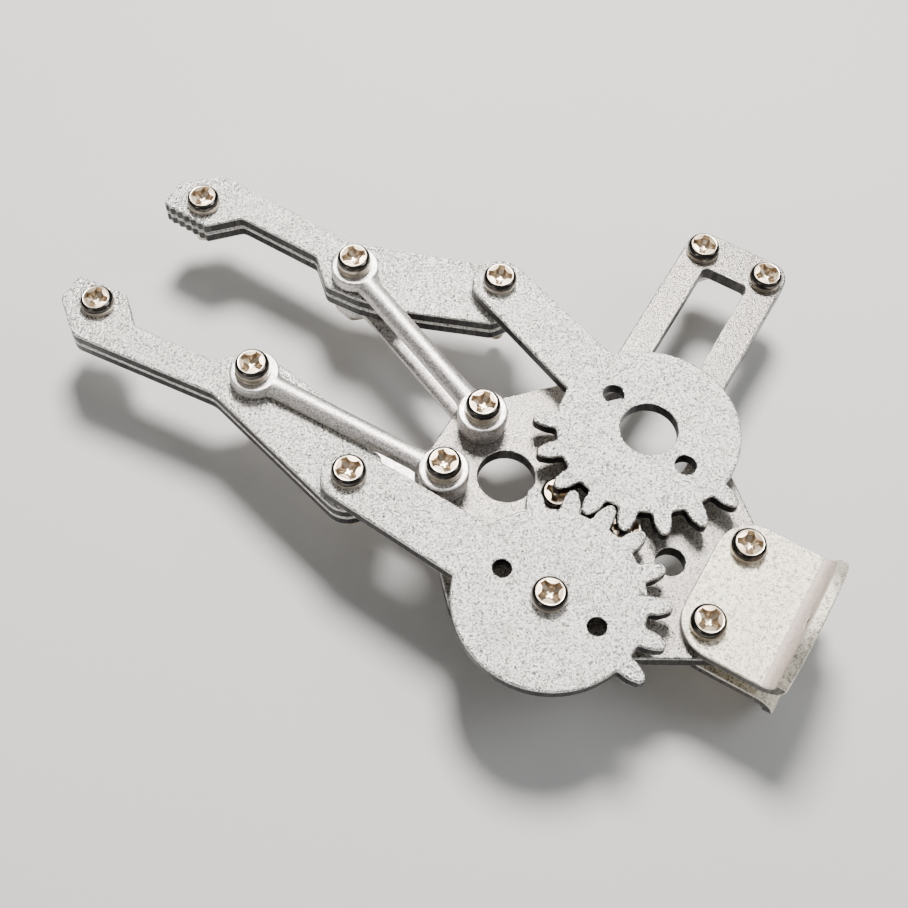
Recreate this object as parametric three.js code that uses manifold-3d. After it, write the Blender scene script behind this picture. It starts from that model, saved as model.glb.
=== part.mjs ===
// Two-finger metal gripper for a desktop robot arm, shown a little open.
// A servo turns the drive gear, which meshes with an equal idler gear. Each gear
// carries an arm, and each arm with its pair of links guides one finger.
//
// Millimetres. +X points to the finger tips and +Z up. The origin is on the outer
// face of the upper wrist flange, where the claw is fastened. The dimensions below
// are drawn from a point midway between the gear axes, on the base plate's top, and
// the whole claw is placed so that the flange meets the origin.
// The drive side is at -Y and the idler side at +Y. Every angle of a side is
// positive outwards, away from the other finger.

import * as THREE from 'three';
import { mergeVertices } from 'three/addons/utils/BufferGeometryUtils.js';
import Module from 'manifold-3d';

const wasm = await Module();
wasm.setup();

// ---------------------------------------------------------------- linkage
const GEAR_SPACING = 29.0;
const ARM_LENGTH = 31.6;
const LINK_LENGTH = 30.5;
const FINGER_PIVOTS = 21.4;
const INNER_PIVOT = { x: 21.1, y: 5.3 };

// Each side's angles in the position shown, and its first tooth behind the arm.
const DRIVE = { name: 'drive', y: -1, arm: 20.1, finger: -22.9, link: 22.6, tooth: -24 };
const IDLER = { name: 'idler', y: 1, arm: -3.4, finger: -19.1, link: 0.6, tooth: -54 };

// ---------------------------------------------------------------- heights
const BASE_THICK = 2.4;
const BRACKET_THICK = 1.6;
const PLATE_THICK = 2.0;
const PLATE_GAP = 0.1;
const FINGER_TOP = 1.75;
const GEAR_UNDER = 2.0;
const GEAR_THICK = 2.1;
const GEAR_TOP = GEAR_UNDER + GEAR_THICK;
const LINK_THICK = 2.05;
const LINK_UNDER = 2.05;
const LOWER_LINK_TOP = -2.65;
const WASHER_THICK = 0.4;
const FINGER_UNDER = FINGER_TOP - 2 * PLATE_THICK - PLATE_GAP;

// ---------------------------------------------------------------- gears
const TEETH_FULL_CIRCLE = 18;
const TEETH_CUT = 8;
const PITCH_RADIUS = GEAR_SPACING / 2;
const TIP_RADIUS = 16.05;
const ROOT_RADIUS = 12.8;
const PRESSURE_ANGLE = 20;
const FLANK_PLAY = 0.35;
const ARM_HALF_WIDTH = 4.4;
const ARM_END_RADIUS = 4.0;
const HORN_HOLE_OFFSET = 7.2;
const HORN_HOLE_RADIUS = 1.5;
const IDLER_HOLE_RADIUS = 1.3;
const HORN_BORE_RADIUS = 4.05;

// ---------------------------------------------------------------- fasteners
const SHANK_RADIUS = 1.25;
const BORE_RADIUS = 1.3;
const LINK_OUTER_BORE = 1.72;
const HEAD_RADIUS = 2.42;
const HEAD_HEIGHT = 1.9;
const NUT_ACROSS_FLATS = 5.0;
const NUT_THICK = 1.8;
const SHANK_PAST_NUT = 0.7;
const RIVET_END = -9.6;

// ---------------------------------------------------------------- base plate
const SERVO_FAR_ROW = { x: 2.25, y: -48.9 };
const SERVO_NEAR_ROW = { x: 1.4, y: -0.7 };
const SERVO_ROW_PITCH = 10.3;
const HORN_OPENING = { x: 1.5, y: -14.5, r: 8.0 };
const FRONT_HOLE = { x: 14.15, y: 0, r: 4.0 };
const REAR_HOLE = { x: -11.0, y: 0, r: 2.05 };
const BRACKET_SCREW = { x: -19.1, y: 6.3 };

// Corners are [x, y, fillet radius], anticlockwise.
const BASE_OUTLINE = [
  [25.4, -6.0, 0.8], [25.4, 6.0, 0.8], [10.4, 21.6, 4], [0.5, 22.6, 5],
  [-20.2, 10.6, 1], [-24.5, 8.1, 1], [-24.5, -7.0, 1], [-18.9, -10.6, 1],
  [-5.8, -22.2, 0.8], [-5.8, -52.7, 3.0], [10.15, -52.7, 3.0], [10.15, -21.8, 0.8],
];
const WINDOW_OUTLINE = [
  [-1.25, -18.0, 0], [-1.25, -46.5, 0.9], [5.85, -46.5, 0.9], [5.85, -18.0, 0],
];

// ---------------------------------------------------------------- wrist brackets
const BRACKET_HALF_WIDTH = 10.45;
const BRACKET_FRONT = -15.3;
const FLANGE_OUTER = -31.7;
const BEND_RADIUS = 1.0;
const FLANGE_RADIUS = 10.9;
const FLANGE_HOLE_HEIGHT = 4.9;
const FLANGE_HOLE_RADIUS = 1.5;
const STACK_MIDDLE = -BASE_THICK / 2;
const ORIGIN_ON_FLANGE = { x: FLANGE_OUTER, z: 7.0 };

// ---------------------------------------------------------------- fingers
// Along the line from the rear pivot to the middle pivot, and outwards from it.
const TIP_SCREW = { x: 46.1, y: 9.7 };
const FINGER_OUTLINE = [
  [-4.0, -3.0, 2.6], [0.4, -5.8, 1.2], [14.5, -5.5, 6], [20.4, -4.4, 3],
  [25.3, -2.7, 1.2], [27.7, 2.5, 1.2], [39.9, 7.8, 1.2], [45.2, 5.5, 0.3],
];
const FINGER_BACK_OUTLINE = [
  [52.2, 8.75, 0.4], [50.7, 13.2, 1.6], [44.2, 15.5, 2.0], [23.3, 5.9, 4], [-4.0, 4.1, 3.6],
];
const GRIP_TEETH = 6;
const GRIP_TOOTH_DEPTH = 0.35;

// ---------------------------------------------------------------- links
const LINK_WIDTH = 3.1;
const LINK_RING_RADIUS = 3.5;
const STANDOFF_RADIUS = 3.3;
const SPACER_RADIUS = 3.0;
const WASHER_RADIUS = 2.55;

const rad = THREE.MathUtils.degToRad;

// ---------------------------------------------------------------- materials
const finish = (color, roughness, metalness) => ({ color, roughness, metalness });
const CAST = finish(0xc9c7c4, 0.55, 0.75);
const SHEET = finish(0xd6d1c4, 0.5, 0.75);
const NICKEL = finish(0xcdbfae, 0.22, 1.0);

function addMesh(parent, name, geometry, look) {
  const mesh = new THREE.Mesh(geometry, new THREE.MeshStandardMaterial(look));
  mesh.name = name;
  parent.add(mesh);
  return mesh;
}

// ---------------------------------------------------------------- outlines
function arcPoints(cx, cy, r, fromDeg, toDeg, stepDeg) {
  const steps = Math.max(1, Math.round(Math.abs(toDeg - fromDeg) / stepDeg));
  return Array.from({ length: steps + 1 }, (_, i) => {
    const a = rad(fromDeg + ((toDeg - fromDeg) * i) / steps);
    return new THREE.Vector2(cx + r * Math.cos(a), cy + r * Math.sin(a));
  });
}

function filletCorner(before, corner, after) {
  const at = new THREE.Vector2(corner[0], corner[1]);
  const radius = corner[2];
  if (!radius) return [at];
  const back = new THREE.Vector2(before[0], before[1]).sub(at).normalize();
  const ahead = new THREE.Vector2(after[0], after[1]).sub(at).normalize();
  const half = Math.acos(THREE.MathUtils.clamp(back.dot(ahead), -1, 1)) / 2;
  const middle = back.clone().add(ahead).normalize().multiplyScalar(radius / Math.sin(half)).add(at);
  const start = back.clone().multiplyScalar(radius / Math.tan(half)).add(at).sub(middle);
  const end = ahead.clone().multiplyScalar(radius / Math.tan(half)).add(at).sub(middle);
  const turn = Math.atan2(start.cross(end), start.dot(end));
  const steps = Math.max(1, Math.round(Math.abs(turn) / rad(20)));
  return Array.from({ length: steps + 1 }, (_, i) =>
    start.clone().rotateAround(new THREE.Vector2(), (turn * i) / steps).add(middle));
}

function filletedOutline(corners) {
  const n = corners.length;
  return corners.flatMap((c, i) => filletCorner(corners[(i + n - 1) % n], c, corners[(i + 1) % n]));
}

function mirrored(points, side) {
  return points.map((p) => new THREE.Vector2(p.x, side * p.y));
}

// ---------------------------------------------------------------- solids
function extrude(points, holes, from, to) {
  const shape = new THREE.Shape(points);
  for (const hole of holes) {
    shape.holes.push(new THREE.Path(arcPoints(hole.x, hole.y, hole.r, 0, 342, 18)));
  }
  const solid = new THREE.ExtrudeGeometry(shape, { depth: to - from, bevelEnabled: false });
  solid.translate(0, 0, from);
  return solid;
}

function revolve(profile, segments) {
  const solid = new THREE.LatheGeometry(profile.map(([r, z]) => new THREE.Vector2(r, z)), segments);
  solid.rotateX(Math.PI / 2);
  return solid;
}

function toManifold(geometry) {
  const bare = geometry.clone();
  bare.deleteAttribute('normal');
  bare.deleteAttribute('uv');
  const welded = mergeVertices(bare, 1e-4);
  return new wasm.Manifold(new wasm.Mesh({
    numProp: 3,
    vertProperties: new Float32Array(welded.attributes.position.array),
    triVerts: new Uint32Array(welded.index.array),
  }));
}

function fromManifold(solid) {
  const mesh = solid.getMesh();
  const geometry = new THREE.BufferGeometry();
  geometry.setAttribute('position', new THREE.BufferAttribute(new Float32Array(mesh.vertProperties), 3));
  geometry.setIndex(new THREE.BufferAttribute(new Uint32Array(mesh.triVerts), 1));
  geometry.computeVertexNormals();
  return geometry;
}

const joined = (...parts) => parts.map(toManifold).reduce((a, b) => a.add(b));
const cut = (solid, ...tools) => tools.map(toManifold).reduce((a, b) => a.subtract(b), solid);

function rod(radius, from, to, segments = 20) {
  return revolve([[0, from], [radius, from], [radius, to], [0, to]], segments);
}

function tube(outer, inner, from, to, segments = 20) {
  return revolve([[inner, from], [outer, from], [outer, to], [inner, to], [inner, from]], segments);
}

// ---------------------------------------------------------------- fasteners
// A pan head with a cross recess on a plain shank; z = 0 is under the head.
function screwSolid(length) {
  const body = revolve([
    [0, -length], [SHANK_RADIUS - 0.3, -length], [SHANK_RADIUS, 0.3 - length], [SHANK_RADIUS, 0],
    [HEAD_RADIUS - 0.1, 0], [HEAD_RADIUS, 0.3], [HEAD_RADIUS - 0.1, 1.2],
    [HEAD_RADIUS * 0.8, 1.72], [HEAD_RADIUS * 0.45, HEAD_HEIGHT - 0.04], [0, HEAD_HEIGHT],
  ], 16);
  const slots = [0, 90].map((turn) => {
    const slot = new THREE.CylinderGeometry(1.65 * Math.SQRT2, 0.9 * Math.SQRT2, 1.4, 4, 1);
    slot.rotateY(Math.PI / 4);
    slot.rotateX(Math.PI / 2);
    slot.scale(1, 0.36, 1);
    slot.translate(0, 0, HEAD_HEIGHT - 0.3);
    slot.rotateZ(rad(turn + 20));
    return slot;
  });
  return fromManifold(cut(toManifold(body), ...slots));
}

function nutSolid() {
  const corners = arcPoints(0, 0, NUT_ACROSS_FLATS / Math.sqrt(3), 0, 300, 60);
  return extrude(corners, [{ x: 0, y: 0, r: BORE_RADIUS }], -NUT_THICK, 0);
}

function addBolt(parent, name, x, y, headUnder, nutTop, end = nutTop - NUT_THICK - SHANK_PAST_NUT) {
  addMesh(parent, `${name}_screw`, screwSolid(headUnder - end), NICKEL).position.set(x, y, headUnder);
  addMesh(parent, `${name}_nut`, nutSolid(), NICKEL).position.set(x, y, nutTop);
}

// ---------------------------------------------------------------- gear with its arm
const involute = (angle) => Math.tan(angle) - angle;

function toothHalfAngle(r) {
  const base = PITCH_RADIUS * Math.cos(rad(PRESSURE_ANGLE));
  const atPitch = 90 / TEETH_FULL_CIRCLE - FLANK_PLAY;
  const growth = involute(rad(PRESSURE_ANGLE)) - involute(Math.acos(Math.min(1, base / r)));
  return atPitch + THREE.MathUtils.radToDeg(growth);
}

// One side of a tooth as [radius, half angle] from the root to the crest.
function toothFlank() {
  const flank = [13.6, 14.2, 14.8, 15.4].map((r) => [r, toothHalfAngle(r)]);
  const foot = toothHalfAngle(ROOT_RADIUS);
  return [[ROOT_RADIUS, foot + 1.3], [ROOT_RADIUS + 0.25, foot + 0.3], ...flank, [15.82, 2.1]];
}

const polar = (r, deg) => new THREE.Vector2(r * Math.cos(rad(deg)), r * Math.sin(rad(deg)));

// The arm points along +X, and the teeth follow clockwise behind its inner edge.
function gearOutline(firstTooth) {
  const pitch = 360 / TEETH_FULL_CIRCLE;
  const armFoot = THREE.MathUtils.radToDeg(Math.asin(ARM_HALF_WIDTH / ROOT_RADIUS));
  const flank = toothFlank();
  const gap = flank[0][1];
  const points = arcPoints(0, 0, ROOT_RADIUS, -armFoot, firstTooth + gap + 1, 8);
  for (let i = 0; i < TEETH_CUT; i += 1) {
    const centre = firstTooth - i * pitch;
    points.push(...flank.map(([r, half]) => polar(r, centre + half)));
    points.push(polar(TIP_RADIUS, centre));
    points.push(...flank.toReversed().map(([r, half]) => polar(r, centre - half)));
  }
  const lastFoot = firstTooth - (TEETH_CUT - 1) * pitch - gap;
  points.push(...arcPoints(0, 0, ROOT_RADIUS, lastFoot - 2, armFoot - 360, 8));
  points.push(...arcPoints(ARM_LENGTH, 0, ARM_END_RADIUS, 88, -88, 11));
  return points;
}

function gearSolid(side, axisHole) {
  const smallHole = side === DRIVE ? HORN_HOLE_RADIUS : IDLER_HOLE_RADIUS;
  const holes = [-1, 1].map((s) => ({ x: s * HORN_HOLE_OFFSET, y: 0, r: smallHole }));
  holes.push({ x: 0, y: 0, r: axisHole }, { x: ARM_LENGTH, y: 0, r: BORE_RADIUS });
  const points = mirrored(gearOutline(side.tooth - side.arm), side.y);
  return extrude(points, holes, GEAR_UNDER, GEAR_TOP);
}

// ---------------------------------------------------------------- finger plate
function fingerOutline() {
  const [x0, y0] = FINGER_OUTLINE.at(-1);
  const [x1, y1] = FINGER_BACK_OUTLINE[0];
  const grip = [];
  const normal = new THREE.Vector2(y1 - y0, x0 - x1).normalize().multiplyScalar(-GRIP_TOOTH_DEPTH);
  for (let i = 1; i < 2 * GRIP_TEETH; i += 1) {
    const t = i / (2 * GRIP_TEETH);
    const inwards = i % 2 ? 1 : 0;
    grip.push([x0 + t * (x1 - x0) + inwards * normal.x, y0 + t * (y1 - y0) + inwards * normal.y, 0]);
  }
  return filletedOutline([...FINGER_OUTLINE, ...grip, ...FINGER_BACK_OUTLINE]);
}

function fingerPlate(side, top) {
  const holes = [{ x: 0, y: 0 }, { x: FINGER_PIVOTS, y: 0 }, { x: TIP_SCREW.x, y: side.y * TIP_SCREW.y }];
  const bores = holes.map((h) => ({ ...h, r: BORE_RADIUS }));
  return extrude(mirrored(fingerOutline(), side.y), bores, top - PLATE_THICK, top);
}

// ---------------------------------------------------------------- link
// Flat underneath at z = 0, half round on top, with a ring at each end.
function linkSolid() {
  const half = LINK_WIDTH / 2;
  const section = [new THREE.Vector2(half, 0), ...arcPoints(0, LINK_THICK - half, half, 0, 180, 22.5),
    new THREE.Vector2(-half, 0)];
  const bar = extrude(section, [], 0, LINK_LENGTH - 4.4);
  bar.rotateX(Math.PI / 2);
  bar.rotateZ(Math.PI / 2);
  bar.translate(2.2, 0, 0);
  const ring = [[0, 0], [LINK_RING_RADIUS, 0], [LINK_RING_RADIUS, LINK_THICK - 0.5],
    [LINK_RING_RADIUS - 0.15, LINK_THICK - 0.15], [LINK_RING_RADIUS - 0.5, LINK_THICK], [0, LINK_THICK]];
  const inner = revolve(ring, 24);
  const outer = revolve(ring, 24).translate(LINK_LENGTH, 0, 0);
  const innerBore = rod(BORE_RADIUS, -1, LINK_THICK + 1, 20);
  const outerBore = rod(LINK_OUTER_BORE, -1, LINK_THICK + 1, 20).translate(LINK_LENGTH, 0, 0);
  return fromManifold(cut(joined(bar, inner, outer), innerBore, outerBore));
}

// ---------------------------------------------------------------- wrist bracket
// The plate lies on z = 0 and its half-disc flange stands up at the rear.
function bracketSolid() {
  const t = BRACKET_THICK;
  const bendX = FLANGE_OUTER + t + BEND_RADIUS;
  const profile = [
    new THREE.Vector2(BRACKET_FRONT, 0),
    new THREE.Vector2(BRACKET_FRONT, t),
    ...arcPoints(bendX, t + BEND_RADIUS, BEND_RADIUS, 270, 180, 22.5),
    new THREE.Vector2(FLANGE_OUTER + t, 12),
    new THREE.Vector2(FLANGE_OUTER, 12),
    ...arcPoints(bendX, t + BEND_RADIUS, BEND_RADIUS + t, 180, 270, 22.5),
  ];
  const strip = extrude(profile, [], -12, 12);
  strip.rotateX(Math.PI / 2);
  const w = BRACKET_HALF_WIDTH;
  const plan = filletedOutline([
    [BRACKET_FRONT, -w, 5.4], [BRACKET_FRONT, w, 5.4], [bendX - 0.5, w, 0], [bendX - 0.5, -w, 0],
  ]);
  const blank = extrude(plan, [], -1, 14);
  const disc = rod(FLANGE_RADIUS, FLANGE_OUTER - 1, bendX - 0.5, 72);
  disc.rotateY(Math.PI / 2);
  disc.translate(0, 0, STACK_MIDDLE);
  const shaped = toManifold(strip).intersect(joined(blank, disc));
  const flangeHole = rod(FLANGE_HOLE_RADIUS, FLANGE_OUTER - 1, FLANGE_OUTER + t + 1, 20);
  flangeHole.rotateY(Math.PI / 2);
  flangeHole.translate(0, 0, STACK_MIDDLE + FLANGE_HOLE_HEIGHT);
  const screwHoles = [-1, 1].map((s) =>
    rod(BORE_RADIUS, -1, t + 1, 20).translate(BRACKET_SCREW.x, s * BRACKET_SCREW.y, 0));
  return fromManifold(cut(shaped, flangeHole, ...screwHoles));
}

// ---------------------------------------------------------------- base plate
function servoScrewPlaces() {
  return [SERVO_NEAR_ROW, SERVO_FAR_ROW].flatMap((row) =>
    [-0.5, 0.5].map((s) => ({ x: row.x + s * SERVO_ROW_PITCH, y: row.y })));
}

function basePlate() {
  const bores = [
    { x: 0, y: GEAR_SPACING / 2 },
    { x: INNER_PIVOT.x, y: INNER_PIVOT.y },
    { x: INNER_PIVOT.x, y: -INNER_PIVOT.y },
    { x: BRACKET_SCREW.x, y: BRACKET_SCREW.y },
    { x: BRACKET_SCREW.x, y: -BRACKET_SCREW.y },
    ...servoScrewPlaces(),
  ].map((place) => ({ ...place, r: BORE_RADIUS }));
  const plate = extrude(filletedOutline(BASE_OUTLINE), [FRONT_HOLE, REAR_HOLE, ...bores], -BASE_THICK, 0);
  const opening = rod(HORN_OPENING.r, -BASE_THICK - 1, 1, 48).translate(HORN_OPENING.x, HORN_OPENING.y, 0);
  const window = extrude(filletedOutline(WINDOW_OUTLINE), [], -BASE_THICK - 1, 1);
  return fromManifold(cut(toManifold(plate), opening, window));
}

// ---------------------------------------------------------------- assembly
const gripper = new THREE.Group();
gripper.name = 'servo_gripper';
const claw = new THREE.Group();
claw.position.set(-ORIGIN_ON_FLANGE.x, 0, -ORIGIN_ON_FLANGE.z);
gripper.add(claw);

addMesh(claw, 'base_plate', basePlate(), CAST);

const upperBracket = addMesh(claw, 'wrist_bracket_upper', bracketSolid(), SHEET);
const lowerBracket = addMesh(claw, 'wrist_bracket_lower', bracketSolid(), SHEET);
upperBracket.position.z = 0;
lowerBracket.rotation.x = Math.PI;
lowerBracket.position.z = -BASE_THICK;

for (const side of [DRIVE, IDLER]) {
  addBolt(claw, `bracket_${side.name}`, BRACKET_SCREW.x, side.y * BRACKET_SCREW.y,
    BRACKET_THICK, -BASE_THICK - BRACKET_THICK);
}

const servoScrewNames = ['servo_near_rear', 'servo_near_front', 'servo_far_rear', 'servo_far_front'];
servoScrewPlaces().forEach((place, i) => {
  addBolt(claw, servoScrewNames[i], place.x, place.y, 0, -BASE_THICK);
});

addBolt(claw, 'idler_axle', 0, GEAR_SPACING / 2, GEAR_TOP + 0.05, -BASE_THICK);
addMesh(claw, 'idler_spacer', tube(SPACER_RADIUS, BORE_RADIUS, 0, GEAR_UNDER - 0.05), CAST)
  .position.set(0, GEAR_SPACING / 2, 0);

for (const side of [DRIVE, IDLER]) {
  const arm = new THREE.Group();
  arm.position.set(0, (side.y * GEAR_SPACING) / 2, 0);
  arm.rotation.z = rad(side.y * side.arm);
  claw.add(arm);
  addMesh(arm, `${side.name}_gear`, gearSolid(side, side === DRIVE ? HORN_BORE_RADIUS : BORE_RADIUS), CAST);
  addBolt(arm, `${side.name}_rear_pivot`, ARM_LENGTH, 0, GEAR_TOP, FINGER_UNDER - 0.05, RIVET_END);

  const finger = new THREE.Group();
  finger.position.set(ARM_LENGTH, 0, 0);
  finger.rotation.z = rad(side.y * (side.finger - side.arm));
  arm.add(finger);
  addMesh(finger, `${side.name}_finger_upper`, fingerPlate(side, FINGER_TOP), CAST);
  addMesh(finger, `${side.name}_finger_lower`, fingerPlate(side, FINGER_TOP - PLATE_THICK - PLATE_GAP), CAST);
  addBolt(finger, `${side.name}_tip`, TIP_SCREW.x, side.y * TIP_SCREW.y, FINGER_TOP, FINGER_UNDER);
  const washerUnder = LINK_UNDER + LINK_THICK + 0.05;
  const lowerLinkUnder = LOWER_LINK_TOP - LINK_THICK;
  addBolt(finger, `${side.name}_middle_pivot`, FINGER_PIVOTS, 0, washerUnder + WASHER_THICK, lowerLinkUnder - 0.05);
  addMesh(finger, `${side.name}_middle_washer`,
    tube(WASHER_RADIUS, BORE_RADIUS, washerUnder, washerUnder + WASHER_THICK), NICKEL)
    .position.x = FINGER_PIVOTS;

  const innerY = side.y * INNER_PIVOT.y;
  addBolt(claw, `${side.name}_inner_pivot`, INNER_PIVOT.x, innerY,
    washerUnder + WASHER_THICK, lowerLinkUnder - 0.05);
  addMesh(claw, `${side.name}_inner_washer`,
    tube(WASHER_RADIUS, BORE_RADIUS, washerUnder, washerUnder + WASHER_THICK), NICKEL)
    .position.set(INNER_PIVOT.x, innerY, 0);
  addMesh(claw, `${side.name}_standoff`, tube(STANDOFF_RADIUS, BORE_RADIUS, 0, LINK_UNDER - 0.1), CAST)
    .position.set(INNER_PIVOT.x, innerY, 0);

  const links = new THREE.Group();
  links.position.set(INNER_PIVOT.x, innerY, 0);
  links.rotation.z = rad(side.y * side.link);
  claw.add(links);
  addMesh(links, `${side.name}_link_upper`, linkSolid(), CAST).position.z = LINK_UNDER;
  const lowerLink = addMesh(links, `${side.name}_link_lower`, linkSolid(), CAST);
  lowerLink.rotation.x = Math.PI;
  lowerLink.position.z = LOWER_LINK_TOP;
}

export default gripper;
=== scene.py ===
"""Looks of a two-finger metal gripper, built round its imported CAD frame.

Shapes are drawn in millimetres and written to their meshes in metres. +X points to the
finger tips, +Z up, the drive side is at -Y and the idler side at +Y.
"""
import math
from itertools import cycle

import bmesh
import bpy
from mathutils import Matrix, Vector
from mathutils.geometry import delaunay_2d_cdt


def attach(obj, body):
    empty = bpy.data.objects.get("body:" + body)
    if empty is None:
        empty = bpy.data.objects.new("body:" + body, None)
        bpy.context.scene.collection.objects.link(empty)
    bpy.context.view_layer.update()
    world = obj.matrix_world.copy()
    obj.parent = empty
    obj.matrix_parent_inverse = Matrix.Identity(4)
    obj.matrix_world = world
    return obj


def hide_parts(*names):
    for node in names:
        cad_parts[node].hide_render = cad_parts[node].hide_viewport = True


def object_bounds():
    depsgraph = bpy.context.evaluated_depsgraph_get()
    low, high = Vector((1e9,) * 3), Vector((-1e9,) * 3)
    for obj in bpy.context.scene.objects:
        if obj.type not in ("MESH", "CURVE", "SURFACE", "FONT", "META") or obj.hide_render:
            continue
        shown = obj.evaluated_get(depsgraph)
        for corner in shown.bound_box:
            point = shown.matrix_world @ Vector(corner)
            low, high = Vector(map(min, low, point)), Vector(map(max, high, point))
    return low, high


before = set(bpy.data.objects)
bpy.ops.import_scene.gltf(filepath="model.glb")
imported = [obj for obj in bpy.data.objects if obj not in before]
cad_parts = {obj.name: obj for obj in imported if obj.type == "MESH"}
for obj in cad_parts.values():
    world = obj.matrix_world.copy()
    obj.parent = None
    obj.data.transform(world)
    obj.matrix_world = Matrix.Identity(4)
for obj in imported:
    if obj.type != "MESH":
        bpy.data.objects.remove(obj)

cad_low, cad_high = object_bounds()

MM = 0.001

# ---------------------------------------------------------------- dimensions, mm and degrees
GEAR_SPACING = 29.0
ARM_LENGTH = 31.6
LINK_LENGTH = 30.5
FINGER_PIVOTS = 21.4
INNER_PIVOT = (21.1, 5.3)
SIDES = {
    "drive": {"y": -1, "arm": 20.1, "finger": -22.9, "link": 22.6, "tooth": -24},
    "idler": {"y": 1, "arm": -3.4, "finger": -19.1, "link": 0.6, "tooth": -54},
}
BASE_THICK = 2.4
BRACKET_THICK = 1.6
PLATE_THICK = 2.0
FINGER_TOP = 1.75
FINGER_STEP = 2.1
FINGER_UNDER = FINGER_TOP - FINGER_STEP - PLATE_THICK
GEAR_UNDER, GEAR_TOP = 2.0, 4.1
LINK_UNDER, LINK_THICK = 2.05, 2.05
LOWER_LINK_TOP = -2.65
WASHER_RADIUS, WASHER_UNDER, WASHER_THICK = 2.55, 4.15, 0.4
STANDOFF_RADIUS, SPACER_RADIUS = 3.3, 3.0
RUNNING_GAP = 0.05
SHANK_RADIUS, BORE_RADIUS = 1.25, 1.3
HEAD_RADIUS, HEAD_HEIGHT = 2.42, 1.9
NUT_FLATS, NUT_THICK = 5.0, 1.8
SHANK_PAST_NUT = 0.7
RIVET_END = -9.6
THREAD_PITCH = 0.45
BRACKET_SCREW = (-19.1, 6.3)
SERVO_ROWS = {"near": (1.4, -0.7), "far": (2.25, -48.9)}
SERVO_PITCH = 10.3
HORN_OPENING = (1.5, -14.5, 8.0)
FRONT_HOLE, REAR_HOLE = (14.15, 4.0), (-11.0, 2.05)
FLANGE_X = -31.7
FLANGE_HOLE_RADIUS, FLANGE_HOLE_HEIGHT = 1.5, 4.9
STACK_MIDDLE = -BASE_THICK / 2
ORIGIN_ON_FLANGE = Vector((FLANGE_X, 0.0, 7.0))

BASE_OUTLINE = [
    (25.4, -6.0, 0.8), (25.4, 6.0, 0.8), (10.4, 21.6, 4), (0.5, 22.6, 5),
    (-20.2, 10.6, 1), (-24.5, 8.1, 1), (-24.5, -7.0, 1), (-18.9, -10.6, 1),
    (-5.8, -22.2, 0.8), (-5.8, -52.7, 3.0), (10.15, -52.7, 3.0), (10.15, -21.8, 0.8),
]
FINGER_FRONT = [
    (-4.0, -3.0, 2.6), (0.4, -5.8, 1.2), (14.5, -5.5, 6), (20.4, -4.4, 3),
    (25.3, -2.7, 1.2), (27.7, 2.5, 1.2), (39.9, 7.8, 1.2), (45.2, 5.5, 0.45),
]
FINGER_BACK = [
    (52.2, 8.75, 0.35), (50.7, 13.2, 1.6), (44.2, 15.5, 2.0), (23.3, 5.9, 4), (-4.0, 4.1, 3.6),
]
TIP_SCREW = (46.1, 9.7)


# ---------------------------------------------------------------- outlines
SAME_POINT = 0.012


def arc(cx, cy, r, start, end, step=6.0):
    """Points of an arc between two angles in degrees, about step degrees apart."""
    count = max(2, round(abs(end - start) / step))
    angles = [math.radians(start + (end - start) * i / count) for i in range(count + 1)]
    return [(cx + r * math.cos(a), cy + r * math.sin(a)) for a in angles]


def circle(cx, cy, r, count=48):
    return arc(cx, cy, r, 0, 360, 360 / count)[:-1]


def fillet(before, corner, after, step=7.5):
    """The points that round off a corner given as (x, y, radius)."""
    at, radius = Vector(corner[:2]), corner[2]
    if not radius:
        return [tuple(at)]
    back = (Vector(before[:2]) - at).normalized()
    ahead = (Vector(after[:2]) - at).normalized()
    half = back.angle(ahead) / 2
    middle = at + (back + ahead).normalized() * (radius / math.sin(half))
    start = at + back * (radius / math.tan(half)) - middle
    end = at + ahead * (radius / math.tan(half)) - middle
    turn = math.atan2(start.x * end.y - start.y * end.x, start.dot(end))
    count = max(2, round(abs(math.degrees(turn)) / step))
    points = []
    for i in range(count + 1):
        a = turn * i / count
        c, s = math.cos(a), math.sin(a)
        points.append((middle.x + start.x * c - start.y * s, middle.y + start.x * s + start.y * c))
    return points


def rounded(corners):
    """A closed outline from corners given as (x, y, radius)."""
    points = []
    for i, corner in enumerate(corners):
        points += fillet(corners[i - 1], corner, corners[(i + 1) % len(corners)])
    return points


def signed_area(loop):
    """The area inside a loop, positive if it runs anticlockwise."""
    return sum(a[0] * b[1] - b[0] * a[1] for a, b in zip(loop, loop[1:] + loop[:1])) / 2


def tidy_loop(loop, anticlockwise):
    """The loop without repeated points, turned the way asked for."""
    kept = [p for i, p in enumerate(loop) if math.dist(p, loop[i - 1]) > SAME_POINT]
    return kept if (signed_area(kept) > 0) == anticlockwise else kept[::-1]


def inset(loop, distance):
    """The loop moved into the material, which lies on its left."""
    moved = []
    for i, p in enumerate(loop):
        a = (Vector(p) - Vector(loop[i - 1])).normalized()
        b = (Vector(loop[(i + 1) % len(loop)]) - Vector(p)).normalized()
        na, nb = Vector((-a.y, a.x)), Vector((-b.y, b.x))
        mitre = (na + nb) / max(0.5, 1 + na.dot(nb))
        moved.append((p[0] + mitre.x * distance, p[1] + mitre.y * distance))
    return moved


def inside(point, loops):
    """Whether a point is in the material that the loops bound, by the even-odd rule."""
    hit = False
    for loop in loops:
        for a, b in zip(loop, loop[1:] + loop[:1]):
            if (a[1] > point[1]) != (b[1] > point[1]):
                if point[0] < a[0] + (point[1] - a[1]) * (b[0] - a[0]) / (b[1] - a[1]):
                    hit = not hit
    return hit


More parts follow.
